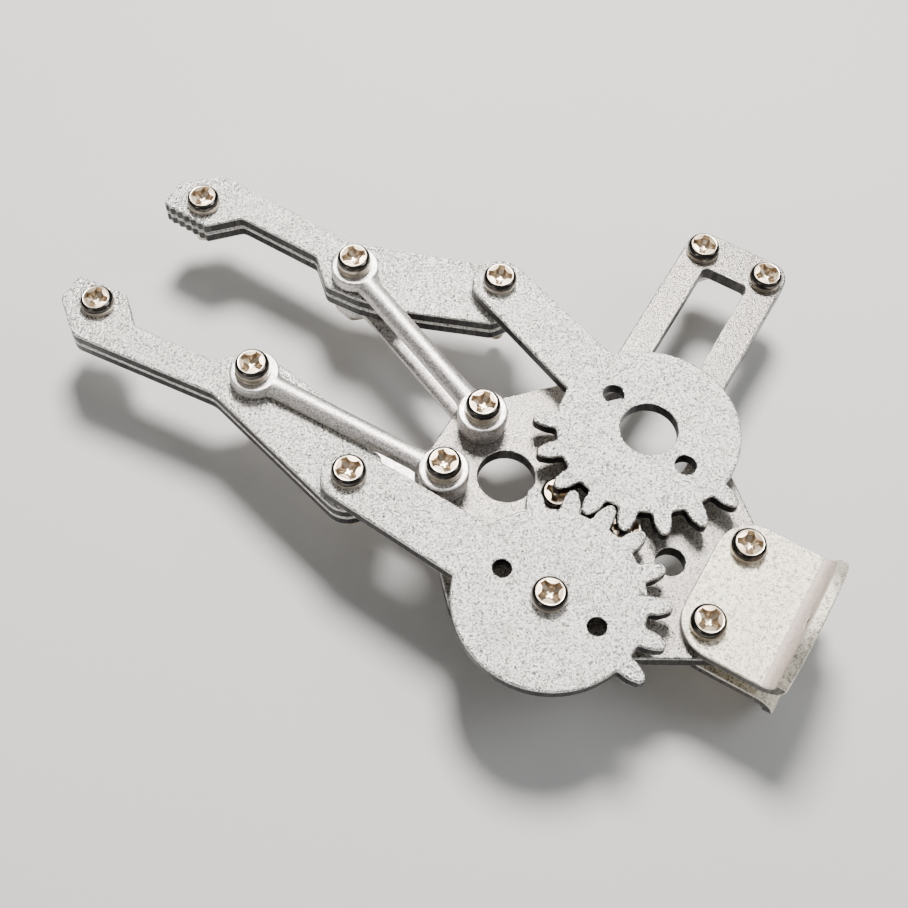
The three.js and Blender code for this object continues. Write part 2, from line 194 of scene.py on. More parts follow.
def cap_triangles(loops):
    """Triangles of a flat cap with holes, as indices into the loops' points in a row."""
    points = [Vector(p) for loop in loops for p in loop]
    edges, first = [], 0
    for loop in loops:
        edges += [(first + i, first + (i + 1) % len(loop)) for i in range(len(loop))]
        first += len(loop)
    made, _, faces, origins, _, _ = delaunay_2d_cdt(points, edges, [], 0, 1e-7)
    kept = []
    for face in faces:
        middle = sum((made[i] for i in face), Vector((0, 0))) / 3
        if inside(middle, loops):
            kept.append([origins[i][0] for i in face])
    return kept


# ---------------------------------------------------------------- meshes
# WALL faces take a darker material: painted shade and dark painted reflection on the walls.
FACE, WALL = 0, 1


def new_mesh(name, points, faces, wear_and_sheen, materials=None):
    """A closed mesh in millimetres, with each vertex's wear and painted highlight as an attribute.
    """
    mesh = bpy.data.meshes.new(name)
    mesh.from_pydata([tuple(p) for p in points], [], faces)
    attribute = mesh.attributes.new("wear_and_sheen", "FLOAT", "POINT")
    attribute.data.foreach_set("value", wear_and_sheen)
    if materials:
        mesh.polygons.foreach_set("material_index", materials)
    mesh.update()
    return mesh


def plate_mesh(outer, holes, low, high, round_top=0.3, round_under=0.3, round_hole=0.14, steps=4):
    """A plate with rounded rims: wide ones round its outline, tight ones round its holes."""
    loops = [tidy_loop(outer, True)] + [tidy_loop(hole, False) for hole in holes]
    # The last value of each ring is its wear and painted highlight, strongest in the middle of a
    # rounded rim.
    rings = []
    for k in range(steps + 1):
        a = math.pi / 2 * k / steps
        rings.append((1 - math.sin(a), low, 1 - math.cos(a), round_under, math.sin(2 * a)))
    for k in range(steps + 1):
        a = math.pi / 2 * k / steps
        rings.append((1 - math.cos(a), high, math.sin(a) - 1, round_top, math.sin(2 * a)))

    def level_loops(level):
        sideways, _, _, radius, _ = rings[level]
        return [inset(loop, sideways * (round_hole if i else radius))
                for i, loop in enumerate(loops)]

    points, wear_and_sheen, faces, kinds = [], [], [], []
    count = sum(len(loop) for loop in loops)
    for level, (_, flat, rise, radius, worn_and_sheen) in enumerate(rings):
        for i, loop in enumerate(level_loops(level)):
            z = flat + rise * (round_hole if i else radius)
            points += [(x, y, z) for x, y in loop]
        wear_and_sheen += [worn_and_sheen] * count
    for level in range(len(rings) - 1):
        first = 0
        for loop in loops:
            for i in range(len(loop)):
                a = level * count + first + i
                b = level * count + first + (i + 1) % len(loop)
                faces.append((a, b, b + count, a + count))
                kinds.append(WALL if level == steps else FACE)
            first += len(loop)
    for level, up in ((0, False), (len(rings) - 1, True)):
        base = level * count
        for face in cap_triangles(level_loops(level)):
            a, b, c = (points[base + i] for i in face)
            turn = (b[0] - a[0]) * (c[1] - a[1]) - (b[1] - a[1]) * (c[0] - a[0])
            order = face if (turn > 0) == up else face[::-1]
            faces.append([base + i for i in order])
            kinds.append(FACE)
    return new_mesh("plate", points, faces, wear_and_sheen, kinds)


def lathe_mesh(rings, angles=64, closed=False, looks=None):
    """Rings of (radius, z, wear and painted highlight) from the bottom up; a radius or z may go by
    angle.

    A closed one joins its last ring to its first. looks gives each band its material index.
    """
    if isinstance(angles, int):
        angles = [2 * math.pi * i / angles for i in range(angles)]
    points, wear_and_sheen, faces, kinds, starts = [], [], [], [], []
    for radius, z, worn_and_sheen in rings:
        starts.append(len(points))
        if radius == 0:
            points.append((0.0, 0.0, z))
            wear_and_sheen.append(worn_and_sheen)
            continue
        for a in angles:
            r = radius(a) if callable(radius) else radius
            points.append((r * math.cos(a), r * math.sin(a), z(a) if callable(z) else z))
            wear_and_sheen.append(worn_and_sheen)
    sizes = [1 if r == 0 else len(angles) for r, _, _ in rings]
    pairs = list(zip(range(len(rings) - 1), range(1, len(rings))))
    if closed:
        pairs.append((len(rings) - 1, 0))
    for band, (low, high) in enumerate(pairs):
        for i in range(len(angles)):
            j = (i + 1) % len(angles)
            a, b = starts[low] + i % sizes[low], starts[low] + j % sizes[low]
            c, d = starts[high] + j % sizes[high], starts[high] + i % sizes[high]
            if sizes[low] == 1:
                faces.append((a, c, d))
            elif sizes[high] == 1:
                faces.append((a, b, c))
            else:
                faces.append((a, b, c, d))
            kinds.append(looks[band] if looks else FACE)
    return new_mesh("lathe", points, faces, wear_and_sheen, kinds)


def tube_mesh(outer, inner, low, high, rim=0.2):
    """A ring with rounded rims."""
    rings = []
    for r, z, turn in ((outer, low, -90), (outer, high, 0), (inner, high, 90), (inner, low, 180)):
        cx = r - rim if r == outer else r + rim
        cz = z + rim if z == low else z - rim
        for k in range(4):
            a = math.radians(turn + 30 * k)
            # The two middle steps of each rim are lightened: wear and painted highlight.
            worn_and_sheen = 1.0 if k in (1, 2) else 0.0
            rings.append((cx + rim * math.cos(a), cz + rim * math.sin(a), worn_and_sheen))
    return lathe_mesh(rings, 64, closed=True)


def evaluated(mesh, *modifiers):
    """The mesh with modifiers, given as (type, {setting: value}), applied."""
    holder = bpy.data.objects.new("holder", mesh)
    bpy.context.scene.collection.objects.link(holder)
    for kind, settings in modifiers:
        modifier = holder.modifiers.new(kind, kind)
        for key, value in settings.items():
            setattr(modifier, key, value)
    graph = bpy.context.evaluated_depsgraph_get()
    done = bpy.data.meshes.new_from_object(holder.evaluated_get(graph))
    bpy.data.objects.remove(holder)
    return done


# ---------------------------------------------------------------- fasteners
# The cross recess: reach of an arm, its half width, and the radius of the corner between arms.
RECESS = (1.72, 0.46, 1.1)
RECESS_ANGLES = (7, 12, 14.97, 16.43, 19, 22.5, 27, 32, 38.5)
# RECESSED, SIDED and CROWN are looks of the same plating painted darker: painted shade in the
# recess, a dark painted reflection down the head's side, and painted shade that tones down the
# lamp's highlight on the top.
PLATED, RECESSED, SIDED, CROWN = 0, 1, 2, 3
CROWN_RISE, CROWN_EDGE = 0.14, 0.56
# The head's side from the bottom up: distance in from the head's radius, height, wear and painted
# highlight.
HEAD_FOOT = ((0.16, 0, 0.3), (0.05, 0.05, 0.8), (0.0, 0.2, 0.3), (0.0, 0.5, 0))
HEAD_SIDE = ((0.01, 0.9, 0), (0.04, 1.25, 0), (0.11, 1.45, 0), (0.2, 1.58, 0), (0.33, 1.69, 0))
# The recess from the mouth down: share of its outline, height, wear and painted highlight; its
# floor is lightened in the middle as a painted highlight.
HOLLOW = ((0.91, 1.34, 0), (0.84, 1.13, 0), (0.56, 0.9, 0), (0.36, 0.76, 0), (0.3, 0.66, 0.6))
HOLLOW_FLOOR = (0, 0.6, 0.6)
THREAD_DEPTH, THREAD_STEPS = 0.2, 7


def recess_radius(a):
    """How far the cross recess reaches at an angle: blunt arms, broad hollows between them."""
    reach, half, corner = RECESS
    off_arm = abs((a + math.pi / 4) % (math.pi / 2) - math.pi / 4)
    if off_arm < math.atan2(half, reach):
        return reach / math.cos(off_arm)
    if off_arm < math.atan2(half, half + corner):
        return half / math.sin(off_arm)
    centre, off_corner = math.sqrt(2) * (half + corner), math.pi / 4 - off_arm
    across = centre * math.sin(off_corner)
    return centre * math.cos(off_corner) - math.sqrt(corner ** 2 - across ** 2)


def screw_mesh(length, threaded):
    """A pan-head screw with a cross recess; z = 0 is under the head, its end part is threaded.

    Its bands have the looks PLATED, SIDED for the head's side, CROWN for its top and RECESSED;
    SIDED, CROWN and RECESSED are the plating painted darker, as painted reflection and painted
    shade.
    """
    def thread(z):
        def radius(a):
            phase = (z / THREAD_PITCH - a / (2 * math.pi)) % 1
            return SHANK_RADIUS - THREAD_DEPTH * abs(2 * phase - 1)
        return radius

    top_radius, top_edge = HEAD_RADIUS - CROWN_EDGE, HEAD_HEIGHT - CROWN_RISE

    def crown(share, sunk=0.0):
        """A ring of the top, from its edge at share 0 to the recess's mouth at share 1."""
        def radius(a):
            return top_radius + (recess_radius(a) - top_radius) * share

        def height(a):
            return top_edge + CROWN_RISE * (1 - (radius(a) / top_radius) ** 2) - sunk
        return radius, height

    def shrunk(scale):
        return lambda a: recess_radius(a) * scale

    rings = [
        (0, -length, 0),
        (SHANK_RADIUS - 0.4, -length, 0),
        (SHANK_RADIUS - 0.22, 0.12 - length, 0.5),
    ]
    start, step = 0.25 - length, THREAD_PITCH / THREAD_STEPS
    count = int((threaded - 0.5) / step)
    rings += [(thread(start + i * step), start + i * step, 0.15) for i in range(count)]
    rings += [(SHANK_RADIUS - 0.06, start + (count + 2) * step, 0), (SHANK_RADIUS - 0.06, 0, 0)]
    looks = [PLATED] * len(rings)
    # A bright line round the top's edge: painted highlight with wear.
    rim = ((0.47, top_edge - 0.01, 0), (0.5, top_edge + 0.02, 1.0))
    rings += [(HEAD_RADIUS - inward, z, worn_and_sheen) for inward, z, worn_and_sheen in HEAD_FOOT + HEAD_SIDE + rim]
    looks += [PLATED] * len(HEAD_FOOT) + [SIDED] * (len(HEAD_SIDE) + 1) + [PLATED]
    for share in (0.0, 0.35, 0.7, 1.0):
        rings.append((*crown(share), 0.5 if share in (0.0, 1.0) else 0.0))
    # The mouth's chamfer is lightened all round: a painted highlight.
    rings.append((shrunk(0.965), crown(1.0, 0.05)[1], 1.0))
    looks += [CROWN] * 5
    rings += [(shrunk(scale), z, worn_and_sheen) for scale, z, worn_and_sheen in HOLLOW] + [HOLLOW_FLOOR]
    looks += [RECESSED] * len(HOLLOW) + [CROWN]
    angles = []
    for arm in range(4):
        for off_arm in [-a for a in reversed(RECESS_ANGLES)] + [0, *RECESS_ANGLES, 45]:
            angles.append(math.radians(90 * arm + off_arm))
    return lathe_mesh(rings, angles, looks=looks)


def nut_mesh():
    """A chamfered hexagon nut; z = 0 is its top face."""
    round_radius = NUT_FLATS / 2 * 0.985
    mouth, depth = BORE_RADIUS + 0.22, 0.2

    def hexagon(a):
        return NUT_FLATS / 2 / math.cos((a + math.pi / 6) % (math.pi / 3) - math.pi / 6)

    def chamfer(a):
        return max(0.0, hexagon(a) - round_radius) * 0.58

    # The last value lightens the hexagon's corners: wear and painted highlight.
    rings = [
        (round_radius, -NUT_THICK, 0.2),
        (hexagon, lambda a: chamfer(a) - NUT_THICK, 0.8),
        (hexagon, lambda a: -chamfer(a), 0.8),
        (round_radius, 0, 0.2),
        (mouth, 0, 0.1),
        (BORE_RADIUS, -depth, 0.3),
        (BORE_RADIUS, depth - NUT_THICK, 0.3),
        (mouth, -NUT_THICK, 0.1),
    ]
    return lathe_mesh(rings, 72, closed=True)


# ---------------------------------------------------------------- gear with its arm
TEETH, CUT_TEETH = 18, 8
TIP_RADIUS, ROOT_RADIUS, BACK_RADIUS, PITCH_RADIUS = 16.05, 12.8, 12.78, GEAR_SPACING / 2
PRESSURE_ANGLE = math.radians(20)
BACKLASH = 0.35
ARM_HALF, ARM_END = 4.4, 3.98
AXIS_HOLES = {"drive": 4.05, "idler": BORE_RADIUS}
HORN_HOLES = {"drive": 1.5, "idler": 1.3}
HORN_HOLE_REACH = 7.2


def involute(angle):
    return math.tan(angle) - angle


def tooth_half_angle(r):
    """Half of a tooth's width at a radius, in degrees."""
    base = PITCH_RADIUS * math.cos(PRESSURE_ANGLE)
    growth = involute(PRESSURE_ANGLE) - involute(math.acos(min(1, base / r)))
    return 90 / TEETH - BACKLASH + math.degrees(growth)


def gear_outline(first_tooth):
    """A round plate with its teeth cut clockwise from first_tooth, and an arm along +X."""
    def polar(r, degrees):
        return (r * math.cos(math.radians(degrees)), r * math.sin(math.radians(degrees)))

    foot = tooth_half_angle(ROOT_RADIUS)
    flank = [
        (ROOT_RADIUS, foot + 1.7),
        (ROOT_RADIUS + 0.08, foot + 0.9),
        (ROOT_RADIUS + 0.3, foot + 0.3),
    ]
    flank += [(r, tooth_half_angle(r)) for r in (13.5, 13.9, 14.3, 14.7, 15.1, 15.4)]
    flank += [(15.62, 2.75), (15.82, 2.1), (15.95, 1.35), (16.03, 0.6)]
    gap = flank[0][1]
    arm_foot = math.degrees(math.asin(ARM_HALF / ROOT_RADIUS))
    points = arc(0, 0, BACK_RADIUS, -arm_foot, first_tooth + gap + 0.5, 3)
    pitch = 360 / TEETH
    for i in range(CUT_TEETH):
        centre = first_tooth - i * pitch
        points += [polar(r, centre + half) for r, half in flank]
        points.append(polar(TIP_RADIUS, centre))
        points += [polar(r, centre - half) for r, half in reversed(flank)]
        if i < CUT_TEETH - 1:
            points.append(polar(ROOT_RADIUS, centre - pitch / 2))
    last = first_tooth - (CUT_TEETH - 1) * pitch - gap
    points += arc(0, 0, BACK_RADIUS, last - 1, arm_foot - 360, 3)
    points += arc(ARM_LENGTH, 0, ARM_END, 88, -88, 5)
    return points


def gear_mesh(side, axis_hole, horn_hole):
    """One gear with its arm, seen with the arm along +X and the axis at the origin."""
    outline = [(x, side["y"] * y) for x, y in gear_outline(side["tooth"] - side["arm"])]
    holes = [circle(s * HORN_HOLE_REACH, 0, horn_hole, 32) for s in (1, -1)]
    holes += [circle(0, 0, axis_hole, 56), circle(ARM_LENGTH, 0, BORE_RADIUS, 24)]
    return plate_mesh(outline, holes, GEAR_UNDER, GEAR_TOP, 0.34, 0.3)


# ---------------------------------------------------------------- fingers and links
GRIP_TEETH, GRIP_DEPTH, GRIP_ROUND = 6, 0.35, 0.33
LINK_RING, LINK_OUTER_BORE, LINK_HALF = 3.5, 1.72, 1.55
LINK_STATIONS, LINK_AROUND = 60, 14


def finger_mesh(side, top):
    """A finger plate, rear pivot at the origin, with a toothed grip at its tip."""
    (x0, y0, _), (x1, y1, _) = FINGER_FRONT[-1], FINGER_BACK[0]
    normal = Vector((y1 - y0, x0 - x1)).normalized() * -GRIP_DEPTH
    grip = []
    for i in range(1, 2 * GRIP_TEETH):
        t = i / (2 * GRIP_TEETH)
        deep = i % 2
        x, y = x0 + t * (x1 - x0) + deep * normal.x, y0 + t * (y1 - y0) + deep * normal.y
        grip.append((x, y, GRIP_ROUND))
    outline = [(x, side["y"] * y) for x, y in rounded(FINGER_FRONT + grip + FINGER_BACK)]
    holes = [circle(0, 0, BORE_RADIUS, 24), circle(FINGER_PIVOTS, 0, BORE_RADIUS, 24),
             circle(TIP_SCREW[0], side["y"] * TIP_SCREW[1], BORE_RADIUS, 24)]
    return plate_mesh(outline, holes, top - PLATE_THICK, top, 0.3, 0.3)


def link_mesh():
    """A half-round bar that flows into a ring at each end, flat underneath at z = 0."""
    points, faces = [], []
    first_x, last_x = 2.2, LINK_LENGTH - 2.2
    span = LINK_LENGTH - 4.4
    stations = [first_x + span * i / LINK_STATIONS for i in range(LINK_STATIONS + 1)]
    for x in stations:
        near = min(x - first_x, last_x - x)
        w = LINK_HALF + 0.4 * math.exp(-((near / 1.5) ** 2))
        points.append((x, w, 0.0))
        for k in range(LINK_AROUND + 1):
            a = math.pi * k / LINK_AROUND
            z = LINK_THICK - LINK_HALF + LINK_HALF * math.sin(a) ** 0.9 * 0.985
            points.append((x, w * math.cos(a), z))
        points.append((x, -w, 0.0))
    ring = LINK_AROUND + 3
    for s in range(len(stations) - 1):
        for i in range(ring):
            a, b = s * ring + i, s * ring + (i + 1) % ring
            faces.append((a, b, b + ring, a + ring))
    faces.append(tuple(reversed(range(ring))))
    faces.append(tuple(range((len(stations) - 1) * ring, len(stations) * ring)))
    for x, bore in ((0.0, BORE_RADIUS), (LINK_LENGTH, LINK_OUTER_BORE)):
        ring_mesh = tube_mesh(LINK_RING, bore, 0.0, LINK_THICK, 0.26)
        first = len(points)
        points += [(v.co.x + x, v.co.y, v.co.z) for v in ring_mesh.vertices]
        faces += [tuple(first + i for i in p.vertices) for p in ring_mesh.polygons]
        bpy.data.meshes.remove(ring_mesh)
    rough = new_mesh("link", points, faces, [0.0] * len(points))
    work = bmesh.new()
    work.from_mesh(rough)
    bmesh.ops.recalc_face_normals(work, faces=work.faces)
    work.to_mesh(rough)
    work.free()
    cast = evaluated(
        rough,
        ("REMESH", {"mode": "VOXEL", "voxel_size": 0.11, "use_smooth_shade": True}),
        ("SMOOTH", {"factor": 0.5, "iterations": 4}),
    )
    wear_and_sheen = cast.attributes.get("wear_and_sheen") or cast.attributes.new("wear_and_sheen", "FLOAT", "POINT")
    # The top rims of the rings are lightened: wear and painted highlight.
    rim_height, rim_reach, bar_middle = LINK_THICK - 0.15, 0.25, 1.2
    values = []
    for v in cast.vertices:
        on_rim = max(0.0, 1 - abs(rim_height - v.co.z) / rim_reach)
        values.append(on_rim if abs(v.co.y) > bar_middle else 0.0)
    wear_and_sheen.data.foreach_set("value", values)
    return cast


# ---------------------------------------------------------------- wrist bracket
FLANGE_FACE = 2
BEND_STEPS, ROUND_STEPS = 12, 46


def bracket_mesh():
    """Bent sheet: drawn flat along its length u, then folded up into the flange.

    Its looks are FACE, WALL for the cut edges, painted dark as painted shade, and FLANGE_FACE for
    the side towards the base, a flat pinkish grey as painted reflection.
    """
    front, bend_radius, half_width, flange_radius = -15.3, 1.6, 10.45, 10.9
    corner_radius = 5.4
    above_bend = BRACKET_THICK + bend_radius
    bend_x = FLANGE_X + BRACKET_THICK + bend_radius
    neutral = bend_radius + BRACKET_THICK / 2
    straight = front - bend_x
    bent = neutral * math.pi / 2
    flange_top = flange_radius + STACK_MIDDLE - BRACKET_THICK - bend_radius
    side = [(straight + bent * k / 4, half_width - 0.24 * (k / 4) ** 1.5) for k in range(5)]
    bend_end = math.asin((above_bend - STACK_MIDDLE) / flange_radius)
    for k in range(1, ROUND_STEPS):
        eased = math.sin(math.radians(90 * k / ROUND_STEPS))
        angle = bend_end + (math.pi / 2 - bend_end) * eased
        side.append((straight + bent - BRACKET_THICK - bend_radius + STACK_MIDDLE
                     + flange_radius * math.sin(angle), flange_radius * math.cos(angle)))
    corner = arc(corner_radius, half_width - corner_radius, corner_radius, 180, 90, 6)
    upper = corner + side
    tip = [(straight + bent + flange_top, 0.0)]
    outline = upper + tip + [(u, -v) for u, v in reversed(upper)]
    hole_u = (straight + bent + STACK_MIDDLE + FLANGE_HOLE_HEIGHT
              - BRACKET_THICK - bend_radius)
    screw_u = front - BRACKET_SCREW[0]
    holes = [circle(screw_u, s * BRACKET_SCREW[1], BORE_RADIUS, 24) for s in (-1, 1)]
    holes.append(circle(hole_u, 0, FLANGE_HOLE_RADIUS, 32))
    mesh = plate_mesh(outline, holes, 0, BRACKET_THICK, 0.22, 0.22)
    work = bmesh.new()
    work.from_mesh(mesh)
    for k in range(BEND_STEPS + 1):
        cut = straight + bent * k / BEND_STEPS
        everything = work.verts[:] + work.edges[:] + work.faces[:]
        bmesh.ops.bisect_plane(work, geom=everything, dist=1e-5,
                               plane_co=(cut, 0, 0), plane_no=(1, 0, 0))
    for v in work.verts:
        u, y, w = v.co
        rho = bend_radius + BRACKET_THICK - w
        if u <= straight:
            v.co = (front - u, y, w)
        elif u >= straight + bent:
            v.co = (bend_x - rho, y, above_bend + u - straight - bent)
        else:
            a = (u - straight) / neutral
            v.co = (bend_x - rho * math.sin(a), y, above_bend - rho * math.cos(a))
    for f in work.faces:
        f.normal_flip()
    bmesh.ops.recalc_face_normals(work, faces=work.faces)
    work.normal_update()
    for f in work.faces:
        # Faces towards the base get the flat pinkish-grey flange look: painted reflection.
        height, towards_base = f.calc_center_median().z, f.normal.x > 0.03
        if towards_base and height > BRACKET_THICK + 0.002 and abs(f.normal.y) < 0.3:
            f.material_index = FLANGE_FACE
        # Cut edges above the bend take the lighter sheet material instead of the dark walls: a
        # painted highlight on the flange's rim.
        elif f.material_index == WALL and height > above_bend:
            f.material_index = FACE
    work.to_mesh(mesh)
    work.free()
    return mesh


# ---------------------------------------------------------------- base plate
def servo_places():
    """The servo's four screws by name."""
    places = {}
    for row, (x, y) in SERVO_ROWS.items():
        places[f"servo_{row}_rear"] = (x - SERVO_PITCH / 2, y)
        places[f"servo_{row}_front"] = (x + SERVO_PITCH / 2, y)
    return places


def base_mesh():
    """The base plate, with the round horn opening run into a window over the servo."""
    cx, cy, r = HORN_OPENING
    left, right, bottom = -1.25, 5.85, -46.5
    left_top, right_top = -23.0, -22.2
    start = math.degrees(math.atan2(-math.sqrt(r * r - (right - cx) ** 2), right - cx))
    end = 360 + math.degrees(math.atan2(-math.sqrt(r * r - (left - cx) ** 2), left - cx))
    round_part = arc(cx, cy, r, start + 3, end - 3, 5)
    window = rounded([(left, left_top, 0), (left, bottom, 0.9), (right, bottom, 0.9),
                      (right, right_top, 0)])
    bores = [(0, GEAR_SPACING / 2), INNER_PIVOT, (INNER_PIVOT[0], -INNER_PIVOT[1]),
             BRACKET_SCREW, (BRACKET_SCREW[0], -BRACKET_SCREW[1]), *servo_places().values()]
    holes = [window + round_part]
    for (x, radius), count in ((FRONT_HOLE, 56), (REAR_HOLE, 40)):
        holes.append(circle(x, 0, radius, count))
    holes += [circle(x, y, BORE_RADIUS, 24) for x, y in bores]
    return plate_mesh(rounded(BASE_OUTLINE), holes, -BASE_THICK, 0, 0.3, 0.3)


# ---------------------------------------------------------------- materials
def add_node(tree, kind, inputs=None, **settings):
    """A node whose inputs are links or plain values, and whose settings are set as given."""
    node = tree.nodes.new(kind)
    for key, value in settings.items():
        setattr(node, key, value)
    for key, value in (inputs or {}).items():
        socket = node.inputs[key]
        if isinstance(value, bpy.types.NodeSocket):
            tree.links.new(value, socket)
        else:
            socket.default_value = value
    return node


def ramp(tree, factor, stops):
    """A color ramp through (place, color) stops."""
    node = add_node(tree, "ShaderNodeValToRGB", {"Fac": factor})
    elements = node.color_ramp.elements
    while len(elements) < len(stops):
        elements.new(0.5)
    for element, (place, color) in zip(elements, stops):
        element.position = place
        element.color = (*color, 1)
    return node.outputs["Color"]


def mix(tree, factor, a, b, blend="MIX"):
    """Two colors, linked or plain, mixed by a factor."""
    node = add_node(tree, "ShaderNodeMix", data_type="RGBA", blend_type=blend)
    fraction, first, second = node.inputs[0], node.inputs[6], node.inputs[7]
    for socket, value in ((fraction, factor), (first, a), (second, b)):
        if isinstance(value, bpy.types.NodeSocket):
            tree.links.new(value, socket)
        else:
            socket.default_value = value if isinstance(value, float) else (*value, 1)
    return node.outputs[2]


def math_node(tree, operation, a, b=0.0, c=0.0):
    return add_node(tree, "ShaderNodeMath", {0: a, 1: b, 2: c}, operation=operation).outputs[0]


def noise(tree, vector, scale, detail=3.0, roughness=0.55):
    """Noise with its scale in cells per metre."""
    inputs = {"Vector": vector, "Scale": scale, "Detail": detail, "Roughness": roughness}
    return add_node(tree, "ShaderNodeTexNoise", inputs).outputs["Fac"]


def scaled(tree, vector, scale, rotation=(0.0, 0.0, 0.0)):
    inputs = {"Vector": vector, "Rotation": rotation, "Scale": scale}
    return add_node(tree, "ShaderNodeMapping", inputs).outputs["Vector"]


def bump(tree, height, strength, distance, normal=None):
    """A normal bent by a height, on top of another normal if there is one; distance in metres."""
    inputs = {"Height": height, "Strength": strength, "Distance": distance}
    if normal is not None:
        inputs["Normal"] = normal
    return add_node(tree, "ShaderNodeBump", inputs).outputs["Normal"]


def start_material(name, metallic):
    """A new material with its tree, its shader, and sockets for object space and for wear with
    painted highlight.
    """
    material = bpy.data.materials.new(name)
    material.use_nodes = True
    tree = material.node_tree
    shader = tree.nodes["Principled BSDF"]
    shader.inputs["Metallic"].default_value = metallic
    place = add_node(tree, "ShaderNodeTexCoord").outputs["Object"]
    worn_and_sheen = add_node(tree, "ShaderNodeAttribute", attribute_name="wear_and_sheen").outputs["Fac"]
    return material, tree, shader, place, worn_and_sheen


def finish_material(tree, shader, color, rough, normal):
    tree.links.new(color, shader.inputs["Base Color"])
    tree.links.new(rough, shader.inputs["Roughness"])
    tree.links.new(normal, shader.inputs["Normal"])


def cast_metal(name, dark, light, grain_depth, rough_low=0.16):
    """Blasted casting: crystalline grain, soft blotches and lighter rims from wear and painted
    highlight.
    """
    material, tree, shader, place, worn_and_sheen = start_material(name, 1.0)
    grain = noise(tree, place, 4300, 2, 0.6)
    coarse = noise(tree, place, 2100, 3, 0.6)
    cells = add_node(tree, "ShaderNodeTexVoronoi", {"Vector": place, "Scale": 4600.0})
    blotch = noise(tree, place, 110, 4, 0.6)
    height = math_node(tree, "MULTIPLY_ADD", grain, 0.72, math_node(tree, "MULTIPLY", coarse, 0.28))
    middle = tuple(0.45 * a + 0.55 * b for a, b in zip(dark, light))
    color = ramp(tree, height, [(0.39, dark), (0.475, middle), (0.55, light)])
    pits = ramp(tree, cells.outputs["Distance"], [(0.08, (0.72,) * 3), (0.3, (1,) * 3)])
    color = mix(tree, 1.0, color, pits, "MULTIPLY")
    tinted = mix(tree, blotch, (0.965, 1.0, 0.985), (1.0, 0.965, 0.955))
    color = mix(tree, 1.0, color, tinted, "MULTIPLY")
    # Patches along the rims are lightened: wear and painted highlight.
    patches = ramp(tree, noise(tree, place, 900, 3), [(0.38, (0.1,) * 3), (0.6, (1,) * 3)])
    patchy = math_node(tree, "MULTIPLY", worn_and_sheen, patches)
    color = mix(tree, math_node(tree, "MULTIPLY", patchy, 0.7), color, (0.95, 0.94, 0.925))
    rough = math_node(tree, "MULTIPLY_ADD", coarse, 0.34, rough_low)
    rough = math_node(tree, "SUBTRACT", rough, math_node(tree, "MULTIPLY", patchy, 0.12))
    normal = bump(tree, height, 1.0, grain_depth)
    normal = bump(tree, noise(tree, place, 260, 2), 0.3, 0.00012, normal)
    finish_material(tree, shader, color, rough, normal)
    return material


def side_metal(name, dark, light):
    """The walls of a casting: smoother, with fine upright streaks, and painted darker as painted
    shade and dark painted reflection.
    """
    material, tree, shader, place, _ = start_material(name, 1.0)
    streak = noise(tree, scaled(tree, place, (1.0, 1.0, 0.16)), 2400, 4, 0.6)
    grain = noise(tree, place, 3200, 3, 0.6)
    blotch = noise(tree, place, 240, 3)
    color = ramp(tree, streak, [(0.3, dark), (0.7, light)])
    color = mix(tree, math_node(tree, "MULTIPLY", blotch, 0.5), color, dark)
    rough = math_node(tree, "MULTIPLY_ADD", grain, 0.3, 0.24)
    normal = bump(tree, streak, 0.6, 0.00005)
    normal = bump(tree, grain, 0.6, 0.00006, normal)
    finish_material(tree, shader, color, rough, normal)
    return material


def sheet_metal(name, tones, grain_depth, metallic=1.0, rough_low=0.24):
    """Bracket sheet: three tones of warm grain from dark to light, with faint rolling lines."""
    material, tree, shader, place, worn_and_sheen = start_material(name, metallic)
    grain = noise(tree, place, 4300, 3, 0.65)
    coarse = noise(tree, place, 1500, 3, 0.5)
    lines = noise(tree, scaled(tree, place, (0.2, 1.0, 1.0)), 900, 3, 0.6)
    height = math_node(tree, "MULTIPLY_ADD", grain, 0.6, math_node(tree, "MULTIPLY", coarse, 0.4))
    color = ramp(tree, height, list(zip((0.41, 0.49, 0.6), tones)))
    bloom = mix(tree, noise(tree, place, 130, 3), (1.0, 0.98, 0.93), (0.97, 0.975, 1.0))
    color = mix(tree, 1.0, color, bloom, "MULTIPLY")
    # Rolling lines lightened along the rims: wear and painted highlight.
    color = mix(tree, math_node(tree, "MULTIPLY", worn_and_sheen, lines), color, (0.96, 0.94, 0.90))
    rough = math_node(tree, "MULTIPLY_ADD", coarse, 0.3, rough_low)
    normal = bump(tree, height, 0.9, grain_depth)
    normal = bump(tree, lines, 0.25, 0.00006, normal)
    finish_material(tree, shader, color, rough, normal)
    return material


def nickel(name, dark, light, rough_low, rough_span):
    """Polished nickel plate with hair scratches and faint tarnish; its edges are lighter from wear
    and painted highlight.
    """
    material, tree, shader, place, worn_and_sheen = start_material(name, 1.0)
    cloud = noise(tree, place, 700, 3)
    stretched = scaled(tree, place, (0.12, 1.0, 1.0), (0.3, 0.5, 0.6))
    scratch = noise(tree, stretched, 5200, 3, 0.7)
    color = ramp(tree, cloud, [(0.3, dark), (0.7, light)])
    # Lighter cream on edges: wear and painted highlight.
    color = mix(tree, math_node(tree, "MULTIPLY", worn_and_sheen, 0.6), color, (0.86, 0.78, 0.66))
    rough = math_node(tree, "MULTIPLY_ADD", scratch, rough_span, rough_low)
    normal = bump(tree, scratch, 0.25, 0.000012)
    normal = bump(tree, cloud, 0.2, 0.00003, normal)
    finish_material(tree, shader, color, rough, normal)
    return material


# The arm castings' walls are painted far darker than their tops: painted shade and dark painted
# reflection.
CAST_ARM = [
    cast_metal("arm_casting_finish", (0.17, 0.167, 0.163), (1.0, 0.975, 0.94), 0.00028),
    side_metal("arm_casting_walls", (0.02, 0.02, 0.021), (0.095, 0.094, 0.092)),
]
